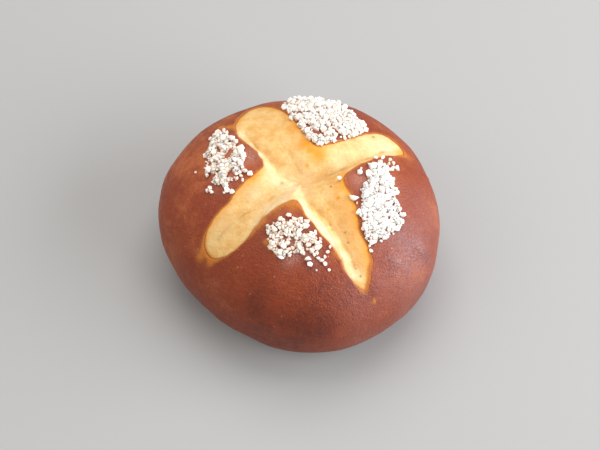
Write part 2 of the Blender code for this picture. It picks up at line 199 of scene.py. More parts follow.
# Where the crumb was bared early and has baked amber: open patches, and bands beside the cut's edge
AMBER = (
    (6.0, 8.8, 2.8, 1.0), (1.6, 13.0, 3.0, 1.0), (-2.5, 20.0, 3.0, 0.6), (14.0, -4.0, 3.0, 0.55),
    (36.0, 15.5, 2.2, 0.7), (-12.0, 22.0, 8.0, 0.15), (15.0, -13.0, 6.0, 0.45), (18.5, -22.0, 5.0, 0.4),
    (21.0, -29.0, 4.0, 0.35), (-17.0, -1.5, 3.0, 0.4))
AMBER_EDGE = (
    (-16.0, 0.5, 5.0, 0.9), (-22.0, -5.5, 5.0, 0.8), (-28.0, -12.0, 5.0, 0.8), (-32.8, -18.0, 5.0, 0.8),
    (-32.0, -25.0, 4.0, 0.4), (15.2, -2.0, 5.0, 0.9), (17.5, -8.0, 5.0, 0.8), (19.3, -15.0, 5.0, 0.8),
    (21.0, -22.0, 5.0, 0.8), (23.8, -29.0, 5.0, 1.0), (22.6, -35.0, 4.0, 1.0), (6.0, 12.8, 5.0, 0.8),
    (0.0, 20.5, 5.0, 0.8), (-4.4, 28.4, 5.0, 0.6), (-9.5, 34.5, 5.0, 0.8), (-16.5, 36.5, 5.0, 0.8),
    (-22.5, 30.0, 5.0, 0.8))
# Where the crumb's edge has baked to a broader line of caramel
CARAMEL = (
    (24.0, -28.5, 4.0, 1.3), (23.4, -33.0, 3.0, 1.3), (22.6, -36.5, 2.0, 1.2), (20.5, -21.0, 3.0, 0.5),
    (16.5, -5.0, 3.0, 0.5), (4.5, 12.8, 3.0, 0.5), (-32.5, -23.0, 3.0, 0.4), (-19.5, 35.4, 4.0, 0.4))
# Where the crumb was bared last and has stayed pale
PALE = (
    (-12.6, 4.0, 2.4, 1.0), (-14.6, 8.6, 2.0, 1.0), (-17.8, 13.4, 2.0, 0.8), (-21.8, 19.5, 2.0, 1.0),
    (-9.5, -0.5, 3.0, 0.6), (-6.0, -10.0, 3.0, 0.6), (-11.0, -13.0, 2.6, 0.7), (-15.5, -17.5, 2.4, 0.4),
    (0.2, -11.0, 1.8, 1.0), (1.6, -13.8, 1.6, 0.9), (3.0, -15.6, 1.8, 1.0), (4.8, -18.2, 1.8, 0.9),
    (6.8, -20.2, 2.2, 0.9), (9.0, -22.8, 2.0, 0.8), (11.0, -24.8, 2.2, 0.9), (14.4, -28.6, 2.4, 0.9),
    (17.6, -34.0, 3.0, 0.8), (22.6, 14.6, 6.0, 0.3), (30.5, 16.5, 5.0, 0.6), (-1.0, -5.0, 4.0, 0.4),
    (-4.0, -3.0, 4.0, 0.4), (-16.0, -6.0, 4.0, 0.35), (14.0, 8.0, 4.0, 0.3))
# Marks on the crumb: brown specks, amber dots, tan spots of painted shade where the crumb lies in less
# light, and a greyish streak in one arm
SPECKS = (
    (10.2, -4.3, 0.35, 1.0), (25.8, 20.1, 0.45, 1.0), (14.8, -20.7, 0.3, 0.8), (15.8, -23.9, 0.35, 0.9),
    (19.9, -34.1, 0.35, 0.9), (10.4, -19.4, 0.32, 1.0), (9.8, -17.6, 0.3, 0.8), (12.6, -8.8, 0.3, 0.4),
    (-6.6, -2.1, 0.6, 0.5), (18.4, -32.0, 0.3, 0.8), (17.0, -30.0, 0.25, 0.7))
DOTS = (
    (3.1, 10.1, 0.9, 0.8), (2.0, 4.8, 0.8, 0.9), (-6.0, 12.0, 0.7, 0.5), (-10.5, 15.5, 0.8, 0.4),
    (12.6, -8.8, 0.65, 1.0), (9.1, -12.4, 0.5, 0.9))
TAN_PAINTED_SHADE = (
    (16.0, -13.0, 5.0, 0.4), (18.0, -21.0, 5.0, 0.6), (20.5, -29.0, 4.0, 0.6), (-29.0, -17.0, 4.0, 0.4),
    (-24.5, -13.0, 4.0, 0.2), (1.5, 2.0, 5.0, 0.45))
STREAK = (
    (-21.0, -14.8, 1.2, 0.3), (-24.4, -17.4, 1.3, 0.45), (-27.6, -19.6, 1.4, 0.45),
    (-30.2, -21.6, 1.8, 0.3))

# Salt patches: outline, gaps as x, y and radius, how much of a second layer lies on the first (0 to 1),
# and how warm the colour is
LEFT_SALT = (
    ((-30.7, 23.5), (-26.4, 21.6), (-24.6, 16.1), (-20.4, 10.6), (-18.8, 9.5), (-20.0, 5.9),
     (-19.4, 1.2), (-24.1, -2.5), (-30.8, -1.7), (-30.7, 2.7), (-34.0, 4.9), (-33.9, 10.2),
     (-32.9, 17.9)),
    ((-25.3, 9.6, 0.9), (-23.2, 10.5, 0.6), (-29.7, 12.9, 0.6), (-25.3, 1.2, 0.7), (-23.9, 1.8, 0.5),
     (-25.3, 15.1, 0.6), (-32.7, 6.9, 0.8), (-31.4, 1.8, 1.0), (-20.0, 0.0, 0.8)),
    0.5, 1.0)
BACK_SALT = (
    ((-6.4, 35.9), (-4.6, 40.5), (0.5, 42.3), (7.0, 42.0), (9.0, 37.5), (13.4, 39.0), (16.4, 34.1),
     (21.6, 27.0), (23.2, 22.5), (19.4, 17.3), (13.3, 16.4), (9.7, 14.0), (6.9, 12.4), (3.1, 14.6),
     (-0.1, 19.6), (-1.6, 24.1), (-4.4, 28.4)),
    ((4.9, 18.4, 1.1), (7.0, 18.0, 1.4), (8.3, 16.2, 0.8), (11.4, 19.8, 1.0), (13.2, 18.4, 0.7),
     (1.9, 21.2, 0.6), (-0.1, 30.1, 0.5), (-5.2, 37.8, 0.8), (-2.5, 33.5, 0.7), (-3.0, 29.5, 0.6),
     (0.5, 36.8, 0.6), (-1.5, 39.5, 0.6)),
    0.9, 0.8)
RIGHT_SALT = (
    ((22.8, 4.6), (27.6, 7.9), (30.5, 7.5), (31.3, 2.8), (32.1, -1.9), (32.7, -6.9), (34.8, -8.5),
     (33.4, -16.4), (30.5, -20.2), (25.9, -23.1), (21.4, -23.6), (21.2, -18.7), (20.3, -12.1),
     (21.4, -8.2), (20.8, -4.4), (24.0, -1.1), (24.5, 2.3)),
    ((27.5, -15.3, 0.5), (33.0, -11.8, 0.4), (22.3, -14.1, 0.4), (25.3, -21.5, 0.5), (30.6, -5.8, 0.4),
     (25.3, -17.8, 0.4)),
    0.9, 0.25)
FRONT_SALT = (
    ((-12.2, -20.3), (-9.1, -18.2), (-6.1, -17.0), (-1.8, -17.5), (1.6, -17.9), (0.8, -20.6),
     (0.8, -22.6), (4.7, -21.8), (7.3, -25.1), (5.6, -28.3), (0.9, -29.0), (-3.1, -29.5),
     (-6.1, -30.5), (-9.1, -28.2), (-10.8, -24.3)),
    ((-3.4, -25.0, 0.9), (0.3, -21.5, 1.0), (4.9, -24.1, 0.6), (-5.8, -23.6, 0.7), (4.3, -26.6, 0.6),
     (-7.1, -26.4, 0.8), (-4.1, -17.6, 1.0), (-9.6, -21.4, 0.5), (1.9, -27.3, 0.5)),
    0.5, 1.4)
# Grains that lie by themselves, each with its x, y and radius
SINGLE_GRAINS = (
    (-17.6, 0.2, 1.3), (-25.5, -5.0, 1.05), (-26.5, -5.7, 0.7), (-23.5, -5.9, 0.9), (-20.0, -2.0, 0.75),
    (-33.0, 2.5, 1.0), (-31.9, -2.4, 0.85), (-32.8, -3.4, 0.8), (-31.3, -4.2, 0.9), (-23.0, 15.1, 0.9),
    (-37.0, 5.2, 0.4), (-5.9, 32.6, 1.2), (-3.6, 25.4, 0.9), (23.1, 1.2, 1.4), (20.3, 1.3, 1.05),
    (20.8, 3.1, 0.6), (17.9, -9.3, 1.35), (18.9, -10.8, 0.5), (19.4, -14.1, 1.25), (31.1, 9.3, 0.8),
    (32.3, 8.1, 0.8), (33.7, 6.3, 1.1), (32.2, 6.3, 0.7), (33.5, -3.7, 1.1), (35.4, -11.8, 1.1),
    (34.8, -14.5, 1.1), (32.3, 1.2, 0.8), (23.1, -24.9, 0.6), (23.6, -26.4, 0.75), (26.2, 9.0, 0.8),
    (28.6, 9.6, 0.8), (-4.1, -16.1, 1.0), (4.3, -29.1, 1.0), (5.6, -30.3, 0.85), (6.9, -31.0, 0.9),
    (7.9, -32.0, 1.1), (7.9, -29.9, 0.75), (8.9, -28.3, 0.85), (9.6, -26.6, 0.8), (2.2, -30.5, 1.2),
    (2.9, -32.2, 1.2), (9.3, -33.6, 0.6), (5.1, -33.8, 0.35), (13.0, -1.9, 0.8))
GRAIN_SPACING = 1.22 * MM
GRAIN_JITTER = 0.4 * MM
OUTLINE_STRAY = 0.5 * MM
GAP_MARGIN = 0.3 * MM
CLUMP_SIZE = 1.9 * MM
CLUMP_SEED = 41
SMALL_GRAIN = 0.5 * MM
LARGE_GRAIN = 1.25 * MM
SIZE_POWER = 1.6
GRAIN_SINK = 0.5
GRAIN_PACKING = 0.42
PATCH_WARMTH = (0.4, 1.2)
SINGLE_WARMTH = (0.0, 0.7)
SALT_SEED = 11

# A crystal: level of its two rings of corners, how far corners move in or out and aside, how much the
# ball is squeezed or stretched along three axes, and the sharpest edge that is shaded smooth
RING_LEVEL = 0.45
CORNER_RADII = (0.7, 1.25)
CORNER_SHIFT = 0.18
SQUEEZE = (0.7, 1.25)
SMOOTH_EDGE = math.radians(50)

# Colours of the crust, the crumb and the salt, as linear red, green and blue
LIGHT_BROWN = (0.42, 0.105, 0.027)
RED_BROWN = (0.235, 0.034, 0.005)
DARK_BROWN = (0.115, 0.015, 0.004)
THIN_CRUST = (0.50, 0.155, 0.012)
BASE_BROWN = (0.20, 0.075, 0.035)
# Light flecks on the crust, partly painted glints
LIGHT_FLECKS_AND_GLINTS = (0.62, 0.32, 0.20)
# A painted cool sheen, mixed into the crust's colour
PAINTED_SHEEN_COLOUR = (0.48, 0.45, 0.50)
FINE_DUST = (0.72, 0.58, 0.52)
CREAM = (0.655, 0.37, 0.115)
LIGHT_CREAM = (0.735, 0.49, 0.20)
PALE_CRUMB = (0.75, 0.63, 0.42)
GOLDEN_GRAIN = (0.56, 0.27, 0.065)
BROWN_FLECKS = (0.38, 0.18, 0.05)
# Painted shade on the crumb, a darker tan
PAINTED_SHADE_TAN = (0.55, 0.35, 0.165)
AMBER_CRUMB = (0.69, 0.275, 0.018)
GREYISH_CRUMB = (0.50, 0.37, 0.16)
# Painted shade along the creases
CREASE_SHADE_BROWN = (0.47, 0.22, 0.05)
SPECK_BROWN = (0.16, 0.07, 0.02)
CARAMEL_LINE = (0.34, 0.085, 0.009)
WHITE_SALT = (0.98, 0.94, 0.90)
WARM_SALT = (0.96, 0.80, 0.66)
# Painted warm shade deep in the salt heaps
PAINTED_SHADE_SALT = (0.93, 0.64, 0.53)

# The studio: the floor, soft lights with their place, size, power and colour, and the sky
FLOOR_HALF = 3.0
FLOOR_LEVEL = -0.05 * MM
FLOOR_COLOUR = (0.36, 0.355, 0.35)
LIGHTS = (
    ("window", (0.84, -0.22, 0.40), (1.1, 0.6), 15.0, (0.94, 0.98, 1.03)),
    ("overhead", (0.05, 0.40, 0.90), (0.9, 0.7), 7.8, (1.0, 0.99, 0.98)),
    ("fill", (-0.65, -0.15, 0.62), (0.8, 0.8), 2.8, (1.0, 0.97, 0.93)),
)
SKY_COLOUR = (1.0, 0.985, 0.96, 1.0)
SKY_STRENGTH = 0.37

# The camera's fit to the picture: 600 pixels wide, looking down at the roll
CAMERA_ELEVATION = math.radians(60)
CAMERA_DISTANCE = 400 * MM
CAMERA_LENS = 65.62
SENSOR_WIDTH = 36
NEAREST_SEEN = 10 * MM
CAMERA_AIM = Vector((-0.416, -3.03, 23.25)) * MM


def plan_radius(azimuth):
    """Radius of the belly: the mean radius with a few cosine lobes."""
    share = np.ones_like(azimuth)
    for lobes, size, direction in PLAN_LOBES:
        share = share + size * np.cos(lobes * (azimuth - math.radians(direction)))
    return MEAN_RADIUS * share


def plan_share(plan):
    """Distance from the middle as a share of the belly's radius in that direction."""
    return np.hypot(plan[..., 0], plan[..., 1]) / plan_radius(np.arctan2(plan[..., 1], plan[..., 0]))


def crust_height(plan):
    """Height of the dome: a superellipse from the belly to the top."""
    share = np.clip(plan_share(plan), 0, 1)
    return BELLY_HEIGHT + (HEIGHT - BELLY_HEIGHT) * (1 - share ** DOME_POWER) ** (1 / DOME_POWER)


def smooth_loop(points, count):
    """Points evenly spaced along the closed Catmull-Rom curve through the given ones."""
    t = (np.arange(CURVE_STEPS) / CURVE_STEPS)[:, None]
    before, after, beyond = (np.roll(points, shift, axis=0) for shift in (1, -1, -2))
    pieces = [
        b + 0.5 * ((c - a) * t + (2 * a - 5 * b + 4 * c - d) * t ** 2 + (3 * b - a - 3 * c + d) * t ** 3)
        for a, b, c, d in zip(before, points, after, beyond)
    ]
    curve = np.concatenate(pieces + [points[:1]])
    along = np.concatenate(([0.0], np.cumsum(np.hypot(*np.diff(curve, axis=0).T))))
    wanted = np.arange(count) / count * along[-1]
    return np.stack([np.interp(wanted, along, curve[:, axis]) for axis in (0, 1)], axis=1)


def path_distance(plan, path):
    """Distance in plan from each point to the nearest stretch of a path."""
    nearest = np.full(plan.shape[:-1], np.inf)
    for start, end in zip(path[:-1], path[1:]):
        run = end - start
        offset = plan - start
        along = np.clip((offset @ run) / (run @ run), 0, 1)
        nearest = np.minimum(nearest, np.hypot(*np.moveaxis(offset - along[..., None] * run, -1, 0)))
    return nearest


def smoothstep(value, low, high):
    """Smooth rise from 0 at low to 1 at high."""
    t = np.clip((value - low) / (high - low), 0, 1)
    return t * t * (3 - 2 * t)


def falloff(distance, width, power=2):
    """Smooth fall from 1 at no distance to 0 far off: exp of minus (distance / width) to a power."""
    return np.exp(-(distance / width) ** power)


def lattice_noise(points, size, seed):
    """Smooth random field from -1 to 1: random values on a lattice, blended with a quintic fade."""
    nodes = LATTICE_NODES
    lattice = np.random.default_rng(seed).uniform(-1, 1, (nodes, nodes, nodes))
    place = points / size + LATTICE_SHIFT
    cell = np.floor(place).astype(int)
    part = place - cell
    fade = part ** 3 * (part * (part * 6 - 15) + 10)
    total = np.zeros(points.shape[:-1])
    for corner in np.ndindex(2, 2, 2):
        weight = np.prod(np.where(corner, fade, 1 - fade), axis=-1)
        node = (cell + corner) % nodes
        total += weight * lattice[node[..., 0], node[..., 1], node[..., 2]]
    return total


def layered_noise(points, layers):
    """Sum of smooth random fields, each with its strength, the size of its lumps and its seed."""
    return sum(strength * lattice_noise(points, size * MM, seed) for strength, size, seed in layers)


def spots(plan, places):
    """Sum of soft round spots: each has its strength times exp(-(distance / radius) squared)."""
    total = np.zeros(plan.shape[:-1])
    for x, y, radius, strength in places:
        total += strength * falloff(np.hypot(plan[..., 0] - x * MM, plan[..., 1] - y * MM), radius * MM)
    return total


def lift(plan, height):
    """Joins plan points and heights into points in space."""
    return np.concatenate((plan, height[..., None]), axis=-1)


def uneven(points):
    """Moves points in or out by soft swells of dough and low bumps.

    They move along lines from a point inside the roll, and less and less towards the base.
    """
    outward = points - SWELL_MIDDLE
    outward /= np.linalg.norm(outward, axis=-1, keepdims=True)
    swell = layered_noise(points, DOUGH_SWELLS) + spots(points[..., :2], BUMPS)
    return points + outward * (swell * smoothstep(points[..., 2], *SWELL_RISE) * MM)[..., None]


def crumb_fields(plan, edge):
    """Distances of crumb points to the cut's edge and to the nearest crease, and the crumb's height.

    The depth under the dome is a step at the edge, lower where the crumb is amber there, plus the
    valley's depth (less with the distance from the crossing) times a power of the share of the way
    from the edge to the crease. The crease wanders a little and is rounded at its bottom.
    """
    flat = lift(plan, np.zeros(plan.shape[:-1]))
    wander = np.stack([lattice_noise(flat, WANDER_SIZE, seed) for seed in WANDER_SEEDS], axis=-1)
    to_edge = path_distance(plan, np.concatenate((edge[::EDGE_THINNING], edge[:1])))
    to_crease = np.min([path_distance(plan + CREASE_WANDER * wander, crease) for crease in CREASES], axis=0)
    from_crossing = np.hypot(*np.moveaxis(plan - CROSSING, -1, 0))
    valley = VALLEY_DEPTH * np.clip(1 - from_crossing / VALLEY_LENGTH, 0, 1) ** VALLEY_FADE
    rounding = (CREASE_ROUNDING + spots(plan, SOFT_CREASE)) * MM
    share = to_edge / (to_edge + np.hypot(to_crease, rounding))
    drop = CRUST_STEP * (1 - AMBER_STEP_LOSS * np.clip(spots(plan, AMBER_EDGE), 0, 1))
    return to_edge, to_crease, crust_height(plan) - drop - valley * share ** BULGE


def edge_and_normals():
    """The cut's edge with a slight tear in it, and the directions out of the cut.

    Each direction is square to the line between two points a few steps to either side. The tear
    fades out where the edge turns sharply, at the tips of the arms and flaps.
    """
    edge = smooth_loop(CUT_EDGE, SPOKES)
    along = np.roll(edge, -EDGE_REACH, axis=0) - np.roll(edge, EDGE_REACH, axis=0)
    outward = np.stack((along[:, 1], -along[:, 0]), axis=1) / np.hypot(*along.T)[:, None]
    turn = np.hypot(*(np.roll(outward, -EDGE_REACH, axis=0) - np.roll(outward, EDGE_REACH, axis=0)).T)
    tear = layered_noise(lift(edge, np.zeros(SPOKES)), EDGE_TEAR) * (1 - smoothstep(turn, *SHARP_TURN))
    return edge + outward * (tear * MM)[:, None], outward


def put_field(mesh, label, values):
    """Stores a number at each corner of a mesh, for its material to read."""
    mesh.attributes.new(label, "FLOAT", "POINT").data.foreach_set("value", values)


def closed_surface(name, rows, first_pole, last_pole, fields):
    """One closed mesh from rings of points, each counter-clockwise from above, with a fan at each end.

    Each field has a number for every point of the rings, and a pole takes the mean of its ring.
    """
    count, spokes = rows.shape[:2]
    ring = np.arange(spokes)
    after = np.roll(ring, -1)
    start = (np.arange(count - 1) * spokes)[:, None]
    corners = (start + ring, start + ring + spokes, start + after + spokes, start + after)
    quads = np.stack(corners, axis=-1).reshape(-1, 4)
    first, last = count * spokes, count * spokes + 1
    end = (count - 1) * spokes
    inner_fan = np.column_stack((np.full(spokes, first), ring, after))
    outer_fan = np.column_stack((ring + end, np.full(spokes, last), after + end))
    points = np.concatenate((rows.reshape(-1, 3), [first_pole, last_pole]))
    mesh = bpy.data.meshes.new(name)
    mesh.from_pydata(points, [], quads.tolist() + inner_fan.tolist() + outer_fan.tolist())
    for label, values in fields.items():
        put_field(mesh, label, np.concatenate((values.ravel(), [values[0].mean(), values[-1].mean()])))
    mesh.shade_smooth()
    return mesh


def centring():
    """The step that puts the middle of the plan's bounding box over the origin."""
    azimuth = np.linspace(0, 2 * math.pi, PLAN_STEPS, endpoint=False)
    belly = plan_radius(azimuth) * (np.cos(azimuth), np.sin(azimuth))
    middle = (belly.min(axis=1) + belly.max(axis=1)) / 2
    return Vector((-middle[0], -middle[1], 0))


def add_piece(name, mesh, material, step):
    """Puts a finished mesh over the origin, gives it its finish, and lets it stand for the solid."""
    mesh.transform(Matrix.Translation(step))
    piece = bpy.data.objects.new(name, mesh)
    bpy.context.scene.collection.objects.link(piece)
    mesh.materials.append(material)
    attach(piece, "root")
    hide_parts(NODE)


def spoke_ends(starts):
    """Where lines from the spoke centre through the given points meet the dome's shoulder, by halving."""
    direction = starts - SPOKE_CENTRE
    direction /= np.hypot(*direction.T)[:, None]
    near, far = np.zeros(len(starts)), np.full(len(starts), 2 * MEAN_RADIUS)
    for _ in range(HALVINGS):
        middle = (near + far) / 2
        inside = plan_share(SPOKE_CENTRE + direction * middle[:, None]) < SHOULDER_SHARE
        near, far = np.where(inside, middle, near), np.where(inside, far, middle)
    return SPOKE_CENTRE + direction * near[:, None]


def cut_rows(edge, outward):
    """Crust rows at the cut: from under the crumb up the wall, over a rounded lip and out beside it.

    Under the crumb a row is the edge drawn in towards the spoke centre, and beside the cut it is an
    offset curve of the edge. Each row comes with its distance from the edge along the surface.
    """
    for share in WELL_SHARES:
        plan = SPOKE_CENTRE + share * (edge - SPOKE_CENTRE)
        yield lift(plan, crumb_fields(plan, edge)[2] - WELL_GAP), 0.0
    for drop in WALL_DROPS:
        yield lift(edge, crust_height(edge) - drop * MM), 0.0
    for angle in np.linspace(0, math.pi / 2, LIP_ROWS):
        plan = edge + outward * LIP_RADIUS * (1 - math.cos(angle))
        yield lift(plan, crust_height(plan) - LIP_RADIUS * (1 - math.sin(angle))), LIP_RADIUS * angle
    for offset in BESIDE_CUT:
        plan = edge + outward * (offset * MM)
        yield lift(plan, crust_height(plan)), offset * MM


def flap_rows(starts, ends):
    """Crust rows over the flaps, along spokes from beside the cut to the shoulder.

    They lie denser near the cut, and each comes with its distance from the edge.
    """
    for row in range(1, FLAP_ROWS + 1):
        plan = starts + (row / FLAP_ROWS) ** FLAP_CROWDING * (ends - starts)
        yield lift(plan, crust_height(plan)), np.hypot(*(plan - starts).T) + BESIDE_CUT[-1] * MM


def side_rows(ends):
    """Crust rows from the shoulder down to the belly, in to the base's edge, and over the flat base.

    The profile is a superellipse above the belly and another below it. The rows' azimuths go over from
    the spokes' own to even spacing on the way down. Their distance from the edge is just a large one.
    """
    azimuth = np.unwrap(np.arctan2(ends[:, 1], ends[:, 0]))
    even = azimuth[0] + np.arange(SPOKES) / SPOKES * 2 * math.pi
    even += (azimuth - even).mean()
    first = math.asin(SHOULDER_SHARE ** (DOME_POWER / 2))
    last = UPPER_ROWS + LOWER_ROWS
    for row in range(1, last + 1):
        turned = azimuth + smoothstep(row / last, 0, EVEN_BY) * (even - azimuth)
        if row <= UPPER_ROWS:
            angle = first + (math.pi / 2 - first) * row / UPPER_ROWS
            share = math.sin(angle) ** (2 / DOME_POWER)
            height = BELLY_HEIGHT + (HEIGHT - BELLY_HEIGHT) * max(math.cos(angle), 0) ** (2 / DOME_POWER)
        else:
            angle = math.pi / 2 * (row - UPPER_ROWS) / LOWER_ROWS
            drawn_in = max(math.cos(angle), 0) ** (2 / UNDERSIDE_POWER)
            share = BASE_RADIUS_SHARE + (1 - BASE_RADIUS_SHARE) * drawn_in
            height = BELLY_HEIGHT * (1 - math.sin(angle) ** (2 / UNDERSIDE_POWER))
        radius = share * plan_radius(turned)
        plan = np.stack((radius * np.cos(turned), radius * np.sin(turned)), axis=1)
        yield lift(plan, np.full(SPOKES, height)), MEAN_RADIUS
    for row in range(1, BASE_ROWS + 1):
        yield lift(plan * (1 - BASE_REACH * row / BASE_ROWS), np.zeros(SPOKES)), MEAN_RADIUS


def crust_marks(rows, from_edge):
    """What the crust's colours and gloss follow. Spots given in plan fade out towards the lower side."""
    plan = rows[..., :2]
    height = rows[..., 2]
    upper = smoothstep(height, *UPPER_SIDE)
    rim = falloff(from_edge, THIN_RIM) * (0.75 + 0.25 * lattice_noise(rows, 4 * MM, 12))
    band_width = (1.2 + 0.6 * lattice_noise(rows, 4 * MM, 13)) * MM
    band = falloff(from_edge, band_width) * spots(plan, THIN_EDGE)
    baked_and_shade = spots(plan, BAKED_AND_SHADE) * upper + layered_noise(rows, CRUST_MOTTLING)
    return {
        "thinned": np.clip(rim + 0.6 * band + spots(plan, THINNED) * upper, 0, 1),
        # Painted shade: the low side is made darker
        "baked_and_shade": baked_and_shade + 0.3 * (1 - smoothstep(height, *PAINTED_SHADE_LOW_SIDE)),
        "under": 1 - smoothstep(height, *BASE_EDGE),
        "shine": np.clip(spots(plan, SHINE), 0, 1) * upper,
        # Where a cool sheen is painted into the colour
        "painted_sheen": spots(plan, PAINTED_SHEEN_SPOTS) * upper,
        "dust": spots(plan, DUST) * upper,
    }


def make_crust_mesh(edge, outward):
    """The crust: a closed skin from under the crumb, over lip and flaps, down the side and the base."""
    rings = list(cut_rows(edge, outward))
    starts = rings[-1][0][:, :2]
    ends = spoke_ends(starts)
    rings += [*flap_rows(starts, ends), *side_rows(ends)]
    rows = np.array([row for row, _ in rings])
    from_edge = np.array([np.broadcast_to(away, SPOKES) for _, away in rings])
    points = uneven(rows)
    relief = CRUST_RELIEF * lattice_noise(points, 1.6 * MM, 16)
    points[..., 2] += relief * smoothstep(rows[..., 2], *UPPER_SIDE)
    floor_height = crumb_fields(SPOKE_CENTRE[None], edge)[2][0] - WELL_GAP
    well_pole = (*SPOKE_CENTRE, floor_height)
    return closed_surface("crust", points, well_pole, (0, 0, 0), crust_marks(rows, from_edge))


def crumb_marks(points, to_edge, to_crease):
    """What the crumb's colours follow: amber and pale parts, its rim, painted shade along its creases and
    in tan spots, and small marks.
    """
    plan = points[..., :2]
    pale = np.clip(spots(plan, PALE), 0, 1)
    rim_width = (0.45 + 0.7 * spots(plan, CARAMEL)) * MM
    band_width = (1.9 + 0.8 * lattice_noise(points, 5 * MM, 24)) * MM
    band = falloff(to_edge, band_width) * 0.75
    amber = np.clip(spots(plan, AMBER) + band * spots(plan, AMBER_EDGE) + spots(plan, DOTS), 0, 1)
    # A thin line of painted shade along the creases, broken up by noise
    creased = np.clip(0.5 + lattice_noise(points, 3 * MM, 23), 0, 1)
    crease_width = (0.25 + 0.3 * creased) * MM
    return {
        "amber": amber,
        "pale": pale * (1 - amber),
        "rim": falloff(to_edge, rim_width, 3) * (1 - 0.9 * pale),
        "crease": falloff(to_crease, crease_width) * creased,
        "specks": spots(plan, SPECKS),
        "streak": spots(plan, STREAK),
        # Tan spots of painted shade
        "tan": spots(plan, TAN_PAINTED_SHADE),
    }


def make_crumb_mesh(edge, outward):
    """The crumb: from the spoke centre to the cut's edge, a little under the crust, and back below."""
    inner = edge - outward * CRUMB_INSET
    plans = [SPOKE_CENTRE + (1 - (1 - row / CRUMB_ROWS) ** CRUMB_CROWDING) * (inner - SPOKE_CENTRE)
             for row in range(1, CRUMB_ROWS + 1)]
    plan = np.array(plans + [edge + outward * offset * MM for offset in CRUMB_RIM])
    to_edge, to_crease, height = crumb_fields(plan, edge)
    tuck = np.zeros(len(plan))
    tuck[-len(CRUMB_TUCK):] = CRUMB_TUCK
    points = lift(plan, height - (tuck * MM)[:, None])
    points[..., 2] += layered_noise(points, CRUMB_RELIEF) * MM * smoothstep(to_edge, 0, 1.5 * MM)
    below = np.array([SPOKE_CENTRE + share * (plan[-1] - SPOKE_CENTRE) for share in CRUMB_UNDER_SHARES])
    under = lift(below, crumb_fields(below, edge)[2] - CRUMB_THICKNESS)
    under[0, :, 2] = points[-1, :, 2] - CRUMB_RIM_THICKNESS
    rows = uneven(np.concatenate((points, under)))
    marks = crumb_marks(points, to_edge, to_crease)
    fields = {label: np.concatenate((mark, np.zeros(under.shape[:2]))) for label, mark in marks.items()}
    top = crumb_fields(SPOKE_CENTRE[None], edge)[2][0]
    poles = uneven(np.array(((*SPOKE_CENTRE, top), (*SPOKE_CENTRE, top - CRUMB_THICKNESS))))
    return closed_surface("crumb", rows, poles[0], poles[1], fields)


def within(plan, outline):
    """Whether points of the plan lie inside a closed outline (even-odd rule)."""
    crossings = np.zeros(len(plan), int)
    for (x0, y0), (x1, y1) in zip(outline, np.roll(outline, -1, axis=0)):
        if y0 == y1:
            continue
        reach = x0 + (plan[:, 1] - y0) / (y1 - y0) * (x1 - x0)
        crossings += ((y0 > plan[:, 1]) != (y1 > plan[:, 1])) & (plan[:, 0] < reach)
    return crossings % 2 == 1


def jittered_grid(outline, draw):
    """Points of a triangular grid over an outline's box, each moved a little at random."""
    low, high = outline.min(axis=0), outline.max(axis=0)
    columns = np.arange(low[0], high[0], GRAIN_SPACING)
    lines = np.arange(low[1], high[1], GRAIN_SPACING * math.sqrt(0.75))
    x, y = np.meshgrid(columns, lines)
    x[1::2] += GRAIN_SPACING / 2
    grid = np.column_stack((x.ravel(), y.ravel()))
    return grid + draw.uniform(-GRAIN_JITTER, GRAIN_JITTER, grid.shape)


def settle(plan, radius, below):
    """Middles and radii of grains that rest on the crust, a little sunk in it, or on grains below.

    On a grain below, the two middles are apart by a packing share of the sum of the radii.
    """
    height = crust_height(plan) + (1 - GRAIN_SINK) * radius
    if len(below):
        away = np.linalg.norm(plan[:, None] - below[None, :, :2], axis=-1)
        reach = GRAIN_PACKING * (radius[:, None] + below[:, 3])
        tops = below[:, 2] + np.sqrt(np.maximum(reach ** 2 - away ** 2, 0))
        height = np.maximum(height, np.where(away < reach, tops, 0).max(axis=1))
    return np.column_stack((plan, height, radius))


def lay_patch(outline, gaps, second, draw):
    """The grains of a patch: a layer that fills the outline but for its gaps, and part of another.

    Smooth noise decides where grains are left out, so that they lie in clumps: a grain is laid where
    the noise is above the layer's least value.
    """
    outline = np.array(outline) * MM
    layers = []
    for least in (-0.8 * second - 0.2, 0.6 - 1.5 * second):
        plan = jittered_grid(outline, draw)
        clumps = lattice_noise(lift(plan, np.full(len(plan), least)), CLUMP_SIZE, CLUMP_SEED)
        stray = plan + draw.normal(0, OUTLINE_STRAY, plan.shape)
        keep = within(stray, outline) & (clumps > least)
        for x, y, radius in gaps:
            keep &= np.hypot(stray[:, 0] - x * MM, stray[:, 1] - y * MM) > radius * MM + GAP_MARGIN
        plan = plan[keep]
        radius = SMALL_GRAIN + (LARGE_GRAIN - SMALL_GRAIN) * draw.random(len(plan)) ** SIZE_POWER
        layers.append(settle(plan, radius, layers[0] if layers else []))
    return np.concatenate(layers)


def lay_grains():
    """Middles and radii of all grains, and how warm each one's colour is."""
    draw = np.random.default_rng(SALT_SEED)
    grains, warmth = [], []
    for outline, gaps, second, warm in (LEFT_SALT, BACK_SALT, RIGHT_SALT, FRONT_SALT):
        patch = lay_patch(outline, gaps, second, draw)
        grains.append(patch)
        warmth.append(warm * draw.uniform(*PATCH_WARMTH, len(patch)))
    single = np.array(SINGLE_GRAINS) * MM
    grains.append(settle(single[:, :2], single[:, 2], []))
    warmth.append(draw.uniform(*SINGLE_WARMTH, len(single)))
    return np.concatenate(grains), np.concatenate(warmth)


